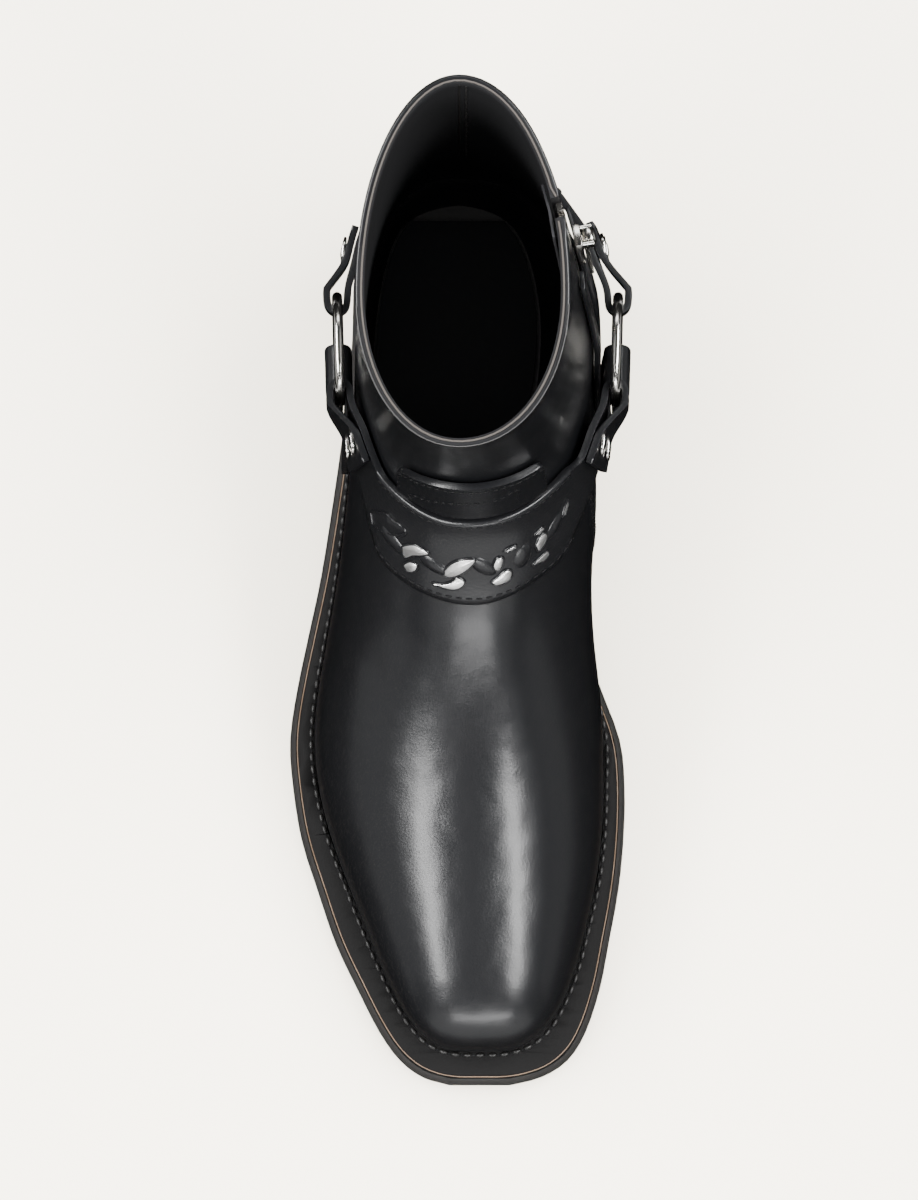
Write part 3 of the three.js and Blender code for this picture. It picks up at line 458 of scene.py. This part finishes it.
heel_leather = plain_material("heel_stack_leather", (0.007, 0.0068, 0.0068), 0.36, specular=0.36)
lift_rubber = add_grain(
    plain_material("top_lift_rubber", (0.008, 0.008, 0.008), 0.7, specular=0.25),
    [("noise", 500, 0.0003, 0.3)])
tape_cloth = plain_material("zip_tape_cloth", (0.010, 0.010, 0.011), 0.9, specular=0.2)
nickel = add_grain(
    plain_material("polished_nickel", (0.66, 0.64, 0.60), 0.20, metallic=1.0),
    [("noise", 900, 0.0001, 0.06)])
chain_metal = add_grain(
    plain_material("bright_chain_metal", (0.93, 0.92, 0.90), 0.36, metallic=1.0),
    [("noise", 700, 0.0004, 0.25)])
dark_dome = plain_material("dark_dome_metal", (0.10, 0.098, 0.095), 0.30, metallic=1.0)


def layer_lines(material, scale):
    """Level lines of the stacked leather, as fine grooves."""
    tree = material.node_tree
    places = tree.nodes.new("ShaderNodeTexCoord")
    wave = tree.nodes.new("ShaderNodeTexWave")
    wave.bands_direction = "Z"
    wave.wave_profile = "SAW"
    wave.inputs["Scale"].default_value = scale
    wave.inputs["Distortion"].default_value = 0.3
    bump = tree.nodes.new("ShaderNodeBump")
    bump.inputs["Distance"].default_value = 0.0003
    bump.inputs["Strength"].default_value = 0.5
    tree.links.new(places.outputs["Object"], wave.inputs["Vector"])
    tree.links.new(wave.outputs["Fac"], bump.inputs["Height"])
    tree.links.new(bump.outputs["Normal"], tree.nodes["Principled BSDF"].inputs["Normal"])


layer_lines(heel_leather, 60)

# Sole, welt and heel
rounded("outsole", "outsole_dressed", sole_rubber, width=0.7 * MM)
welt_piece = finish_piece(merged_copy("welt", quads=False), "welt_dressed", welt_leather, smooth=60)
apply_modifier(welt_piece, "WEIGHTED_NORMAL", weight=90, keep_sharp=True)
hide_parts("welt")
rounded("heel_stack", "heel_stack_dressed", heel_leather, width=0.35 * MM)
rounded("heel_top_lift", "heel_top_lift_dressed", lift_rubber, width=0.5 * MM)
rounded("insole", "insole_dressed", lining, width=0.5 * MM)


def top_ring(node):
    """Points of the rim round the top face of a solid, in order, in metres."""
    mesh = nodes[node].data
    grid = 0.01 * MM
    sides = {}
    for face in mesh.polygons:
        if face.normal.z < 0.8:
            continue
        keys = [tuple(round(c / grid) for c in mesh.vertices[v].co) for v in face.vertices]
        sides.update(dict.fromkeys(zip(keys, keys[1:] + keys[:1])))
    border = {a: b for a, b in sides if (b, a) not in sides}
    start = min(border)
    ring, at = [], start
    while True:
        ring.append(Vector(at) * grid)
        at = border[at]
        if at == start:
            return ring


def walked(ring):
    """Even stations along the ring in front of the welt's back ends, each with the way in from the rim."""
    start = ring.index(max(ring, key=lambda p: p.y))
    turned = ring[start:] + ring[:start] + ring[start:start + 1]
    stations = []
    for a, b in zip(turned, turned[1:]):
        count = max(int((b - a).length / RIM_STEP), 1)
        stations += [a.lerp(b, part / count) for part in range(count)]
    count = len(stations)
    around = range(-RIM_REACH, RIM_REACH + 1)
    even = [sum((stations[(at + k) % count] for k in around), Vector()) / len(around) for at in range(count)]
    centre = sum(even, Vector()) / count
    line = []
    for at in range(0, count, 2):
        onward = even[(at + 4) % count] - even[at - 4]
        side = Vector((-onward.y, onward.x, 0)).normalized()
        middle = Vector((centre.x, min(max(even[at].y, -190 * MM), -20 * MM), 0))
        if side.dot(middle - even[at]) < 0:
            side.negate()
        if even[at].y < WELT_BACK:
            line.append((even[at], side))
    return line


def from_widest_gap(line, place=lambda item: item):
    """A closed line turned so that it starts behind its widest gap."""
    gaps = [(place(line[at]) - place(line[at - 1])).length for at in range(len(line))]
    start = gaps.index(max(gaps))
    return line[start:] + line[:start]


welt_skin = surface_of(nodes["welt"])
boot_skin = surface_of(nodes["upper"])
welt_rim = []
for spot, side in walked(top_ring("welt")):
    inner, normal, _, _ = welt_skin.ray_cast(spot + side * WELT_PROBE - DOWN * RAY_START, DOWN)
    outer = welt_skin.ray_cast(spot - side * WELT_PROBE - DOWN * RAY_START, DOWN)[0]
    if inner and normal.z > 0.5 and not outer:
        welt_rim.append((spot, side))
welt_rim = from_widest_gap(welt_rim, lambda item: item[0])


def covered(spot):
    """Whether the upper lies over this spot of the welt."""
    over = boot_skin.ray_cast(spot - DOWN * 12 * MM, DOWN)[0]
    return over is not None and over.z > spot.z + 0.3 * MM


def upper_foot_gap(spot, side):
    """How far in from the rim the upper stands on the welt."""
    for step in range(4, 60):
        if covered(spot + side * step * FOOT_STEP):
            return step * FOOT_STEP
    return WIDEST_FOOT_GAP


def evened(values):
    """Each value as the mean of itself and its neighbours."""
    last = len(values) - 1
    around = range(-FOOT_REACH, FOOT_REACH + 1)
    return [sum(values[min(max(at + k, 0), last)] for k in around) / len(around) for at in range(last + 1)]


welt_seam = []
for (spot, side), gap in zip(welt_rim, evened([upper_foot_gap(spot, side) for spot, side in welt_rim])):
    inset = gap - WELT_SEAM_GAP
    hit, normal, _, _ = welt_skin.ray_cast(spot + side * inset - DOWN * RAY_START, DOWN)
    if hit and normal.z > 0.4:
        welt_seam.append(hit)
stitched("welt_stitches", [welt_seam], welt_skin, WELT_THREAD_LENGTH, WELT_THREAD_PITCH,
         WELT_THREAD_RADIUS, welt_thread)
line_piece("welt_groove", [p + DOWN * 0.3 * MM for p in welt_seam], 0.5 * MM, thread)
# A thin tan line just outside and below the welt's rim: a painted highlight on the welt's outer top edge
highlight_stations = [spot + (side + DOWN) * 0.1 * MM for spot, side in welt_rim]
line_piece("welt_edge_painted_highlight", highlight_stations, 0.2 * MM, tan_highlight_paint)

# Upper with its lining
upper = softened("upper", "upper_dressed", leather, crease=0.85, angle=45)
upper.data.materials.append(lining)
for face in upper.data.polygons:
    in_shaft = face.center.y > SHAFT_FRONT and face.center.z > LINING_FOOT
    axis = Vector((*SHAFT_AXIS, face.center.z))
    if in_shaft and face.normal.dot(axis - face.center) > 0:
        face.material_index = 1
upper_skin = surface_of(upper)


def collar_line(share, lift):
    """A line along the collar's rim, at a share of the wall from the inside."""
    centre = Vector((*COLLAR_MIDDLE, COLLAR_HEIGHT - 1.2 * MM))
    line = []
    for degrees in range(14, 375, 3):
        turn = math.radians(degrees)
        way = Vector((math.cos(turn), math.sin(turn), 0))
        inside, _, _, near = upper_skin.ray_cast(centre, way)
        if not inside:
            continue
        outside, _, _, thick = upper_skin.ray_cast(inside + way * 0.2 * MM, way)
        if not outside or thick > WALL_LIMIT or near > SHAFT_REACH:
            continue
        place = inside.lerp(outside, share)
        line.append(Vector((place.x, place.y, COLLAR_HEIGHT + lift)))
    return from_widest_gap(line)


line_piece("collar_raw_edge", drawn(collar_line(0.34, -0.2 * MM), 3 * MM), 0.32 * MM, raw_edge)
front_rim = [p for p in collar_line(0.9, -0.08 * MM) if p.y < -30 * MM]
line_piece("collar_pale_line", drawn(front_rim, 3 * MM), 0.11 * MM, pale_line)

back_seam = in_mm(BACK_SEAM)
for name, side in (("outer", -1.1 * MM), ("inner", 1.1 * MM)):
    stitched(f"back_seam_stitches_{name}", [moved(back_seam, (side, 0, 0))], upper_skin)
side_seam = in_mm(INNER_SIDE_SEAM)
line_piece("inner_side_seam", on_skin(side_seam, 3 * MM, upper_skin), 0.3 * MM, thread)
for name, side in (("front", -1.3 * MM), ("back", 1.3 * MM)):
    stitched(f"inner_side_seam_stitches_{name}", [moved(side_seam, (0, side, 0))], upper_skin)
inner_seam = moved(back_seam[2:], (0, -WALL_THICKNESS, 0))
stitched("back_seam_inner_stitches", [moved(inner_seam, (2.2 * MM, 0, 0))], upper_skin,
         radius=0.4 * MM, material=welt_thread)
line_piece("back_seam_inner", on_skin(inner_seam, 4 * MM, upper_skin), 0.3 * MM, welt_thread)
line_piece("back_seam", on_skin(back_seam, 4 * MM, upper_skin), 0.28 * MM, thread)

# Patch and straps
patch = softened("front_patch", "front_patch_dressed", leather, crease=0.8)
front_strap = softened("front_strap", "front_strap_dressed", strap_leather, crease=0.7)
back_strap = softened("back_strap", "back_strap_dressed", strap_leather, crease=0.7)
for side in ("lateral", "medial"):
    softened(f"under_strap_{side}", f"under_strap_{side}_dressed", strap_leather, crease=0.7)
patch_skin = surface_of(patch)
front_skin = surface_of(front_strap)
back_skin = surface_of(back_strap)
stitched("front_strap_stitches", [in_mm(FRONT_STRAP_LOW), in_mm(FRONT_STRAP_HIGH)], front_skin)
stitched("back_strap_stitches", [in_mm(BACK_STRAP_LOW), in_mm(BACK_STRAP_HIGH)], back_skin)
patch_sides = [[PATCH_HIGH[0], PATCH_LOW[0]], [PATCH_HIGH[-1], PATCH_LOW[-1]]]
patch_lines = [in_mm(line) for line in (PATCH_HIGH, PATCH_INNER, *patch_sides)]
stitched("patch_stitches", patch_lines, patch_skin, FINE_THREAD_LENGTH, FINE_THREAD_PITCH, FINE_THREAD_RADIUS)


# Chain under the front strap's leather
def on_front_strap(place, angle):
    """Place, normal and direction on the front strap for an angle seen from above."""
    spot, normal, _, _ = front_skin.find_nearest(Vector(place) * MM)
    flat = Vector((math.cos(math.radians(angle)), math.sin(math.radians(angle)), 0))
    return spot, normal, (flat - normal * flat.dot(normal)).normalized()


for number, (place, length, width, angle) in enumerate(LINK_BUMPS, 1):
    bump = flattened_ball(24, 12, (length / 2 * MM, width / 2 * MM, LINK_HEIGHT))
    copies(bump, [laid(*on_front_strap(place, angle), -LINK_SINK)],
           f"chain_link_under_strap_{number}", strap_leather)


def window_rim(outline):
    """The outline of an opening as an even closed line on the strap."""
    points = in_mm(outline)
    stations = drawn(points[-1:] + points + points[:1], WINDOW_STEP)
    near = [(p - points[0]).length for p in stations]
    first = near.index(min(near[:len(near) // 2]))
    near = [(p - points[-1]).length for p in stations]
    last = len(near) // 2 + near[len(near) // 2:].index(min(near[len(near) // 2:]))
    ring = stations[first:last] + drawn([points[-1], points[0]], WINDOW_STEP)[:-1]
    return [front_skin.find_nearest(p)[0:2] for p in ring]


for number, outline in enumerate(CHAIN_WINDOWS, 1):
    rim = window_rim(outline)
    bpy.ops.mesh.primitive_circle_add(vertices=len(rim), radius=1, fill_type="NGON")
    window = bpy.context.object
    # The shaded hollow gets a low cover of dark strap leather, painted shade where no chain shows; the other
    # openings get chain metal
    painted_hollow_shade = number == SHADED_HOLLOW_WINDOW
    lift = 0.1 * MM if painted_hollow_shade else 0.35 * MM
    for corner, (spot, normal) in zip(window.data.vertices, rim):
        corner.co = spot + normal * lift
    bpy.ops.object.mode_set(mode="EDIT")
    bpy.ops.mesh.select_all(action="SELECT")
    bpy.ops.mesh.normals_make_consistent(inside=False)
    bpy.ops.mesh.inset(thickness=WINDOW_BORDER)
    bpy.ops.transform.translate(value=(0, -0.15 * MM, 0.3 * MM))
    bpy.ops.mesh.poke()
    bpy.ops.object.mode_set(mode="OBJECT")
    if sum((f.normal * f.area for f in window.data.polygons), Vector()).dot(rim[0][1]) < 0:
        only(window)
        bpy.ops.object.mode_set(mode="EDIT")
        bpy.ops.mesh.select_all(action="SELECT")
        bpy.ops.mesh.flip_normals()
        bpy.ops.object.mode_set(mode="OBJECT")
    finish_piece(window, f"chain_window_{number}", strap_leather if painted_hollow_shade else chain_metal,
                 smooth=60)
    lip = [spot + normal * 0.2 * MM for spot, normal in rim]
    line_piece(f"chain_window_lip_{number}", lip, WINDOW_LIP_RADIUS, strap_leather, closed=True)

# Rings and rivets
for side in ("lateral", "medial"):
    ring = f"ring_{side}"
    softened(ring, f"{ring}_dressed", nickel, crease=0, angle=80, body=ring)


def rivet_seat(node):
    """Middle of a rivet's foot and the way out of the leather."""
    mesh = nodes[node].data
    side = 1 if "medial" in node else -1
    out = Vector()
    for face in mesh.polygons:
        if face.normal.x * side > 0.75:
            out += face.normal * face.area
    out.normalize()
    middle = sum((v.co for v in mesh.vertices), Vector()) / len(mesh.vertices)
    lowest = min((v.co - middle).dot(out) for v in mesh.vertices)
    return middle + out * lowest, out


def rivet_rim():
    """The rivet's bright head: a disc hollowed in the middle, with its edges rounded."""
    bpy.ops.mesh.primitive_cylinder_add(vertices=32, radius=RIVET_RADIUS, depth=RIVET_HEIGHT,
                                        location=(0, 0, RIVET_HEIGHT / 2))
    rim = bpy.context.object
    bpy.ops.object.transform_apply(location=True, rotation=False, scale=False)
    bpy.ops.object.mode_set(mode="EDIT")
    bpy.ops.mesh.select_mode(type="FACE")
    bpy.ops.mesh.select_all(action="DESELECT")
    bpy.ops.object.mode_set(mode="OBJECT")
    for face in rim.data.polygons:
        face.select = face.normal.z > 0.9
    bpy.ops.object.mode_set(mode="EDIT")
    bpy.ops.mesh.inset(thickness=RIVET_RIM_WIDTH)
    bpy.ops.transform.translate(value=(0, 0, -RIVET_HOLLOW))
    bpy.ops.object.mode_set(mode="OBJECT")
    apply_modifier(rim, "BEVEL", width=0.35 * MM, segments=2, limit_method="ANGLE")
    return rim


for strap in ("front", "back", "under"):
    for side in ("lateral", "medial"):
        for number in (1, 2):
            node = f"rivet_{strap}_{side}_{number}"
            foot, out = rivet_seat(node)
            onward = DOWN.cross(out).normalized()
            rim = copies(rivet_rim(), [laid(foot, out, onward)], f"{node}_rim", nickel, smooth=35)
            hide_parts(node)
            dome = flattened_ball(20, 10, (DOME_RADIUS, DOME_RADIUS, DOME_HEIGHT))
            copies(dome, [laid(foot, out, onward, DOME_LIFT)], f"{node}_dome", dark_dome)

# Zip
rounded("zip_tape", "zip_tape_dressed", tape_cloth, width=0.15 * MM)
rounded("zip_slider", "zip_slider_dressed", nickel, width=0.3 * MM)
rounded("zip_pull", "zip_pull_dressed", nickel, width=0.25 * MM, body="zip_pull")
for side in ("front", "rear"):
    rounded(f"zip_facing_{side}", f"zip_facing_{side}_dressed", leather, width=0.35 * MM)

teeth_skin = surface_of(nodes["zip_teeth"])
zip_way = (ZIP_TOP - ZIP_FOOT).normalized()
teeth = []
count = int((ZIP_TOP - ZIP_FOOT).length / TOOTH_PITCH)
for number in range(1, count):
    spot = ZIP_FOOT.lerp(ZIP_TOP, number / count)
    hit, normal, _, _ = teeth_skin.ray_cast(spot - INWARD * SIDE_RAY_START, INWARD)
    if not hit or normal.x < 0.4:
        continue
    onward = (zip_way - normal * zip_way.dot(normal)).normalized()
    across = normal.cross(onward)
    offset = TOOTH_OFFSET if number % 2 else -TOOTH_OFFSET
    teeth.append(laid(hit - normal * TOOTH_SINK + across * offset, normal, onward))


def zip_tooth():
    """One tooth of the zip: a small bar with its edges taken off."""
    bpy.ops.mesh.primitive_cube_add(size=1)
    tooth = bpy.context.object
    bpy.ops.object.mode_set(mode="EDIT")
    bpy.ops.transform.resize(value=TOOTH_SIZE)
    bpy.ops.object.mode_set(mode="OBJECT")
    apply_modifier(tooth, "BEVEL", width=0.15 * MM, segments=1)
    return tooth


row_of_teeth = copies(zip_tooth(), teeth, "zip_teeth_dressed", nickel, smooth=30)
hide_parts("zip_teeth")

# Floor, light and camera
bpy.ops.mesh.primitive_plane_add(size=40, location=(0, 0, -0.0004))
floor = bpy.context.object
floor.name = "floor"
floor_paint = plain_material("floor_paint", (0.90, 0.835, 0.705), 0.9, specular=0.1)
floor.data.materials.append(floor_paint)


def softbox(name, place, target, width, height, power):
    """A rectangular light that faces its target, its width level."""
    bpy.ops.object.light_add(type="AREA", location=place)
    lamp = bpy.context.object
    lamp.name = name
    lamp.data.shape = "RECTANGLE"
    lamp.data.size = width
    lamp.data.size_y = height
    lamp.data.energy = power
    lamp.rotation_euler = (Vector(place) - Vector(target)).to_track_quat("Z", "Y").to_euler()
    return lamp


softbox("left_strip", (-0.80, -0.22, 0.95), (0, -0.16, 0.05), 2.0, 0.26, 60)
softbox("right_strip", (0.66, -0.22, 1.05), (0, -0.16, 0.05), 2.0, 0.26, 60)
softbox("toe_strip", (0.0, -1.15, 0.36), (0, -0.2, 0.05), 0.6, 0.10, 4.5)
softbox("back_box", (0.0, 1.2, 0.9), (0, 0, 0.1), 1.0, 0.3, 5)
softbox("low_front_card", (0, -0.8, 0.04), (0, 0, 0.1), 1.0, 0.4, 1.5)
softbox("low_left_card", (-0.75, -0.1, 0.06), (0, -0.1, 0.08), 1.2, 0.4, 0.9)
softbox("low_right_card", (0.75, -0.1, 0.06), (0, -0.1, 0.08), 1.2, 0.4, 0.7)
overhead = softbox("overhead_fill", (0, -0.1, 2.6), (0, -0.1, 0), 3.4, 3.4, 262)
overhead.visible_glossy = False
floor.visible_glossy = False

world = bpy.data.worlds.new("studio")
bpy.context.scene.world = world
world.use_nodes = True
world.node_tree.nodes["Background"].inputs[0].default_value = (1.0, 0.99, 0.97, 1)
world.node_tree.nodes["Background"].inputs[1].default_value = 0.30
world.cycles_visibility.glossy = False

bpy.ops.object.camera_add(location=(0, -0.2632, 1.6012), rotation=(math.radians(6), 0, 0))
camera = bpy.context.object
camera.data.lens = 150.7
camera.data.sensor_width = 36
camera.data.clip_start = 0.05
camera.data.clip_end = 20
bpy.context.scene.camera = camera
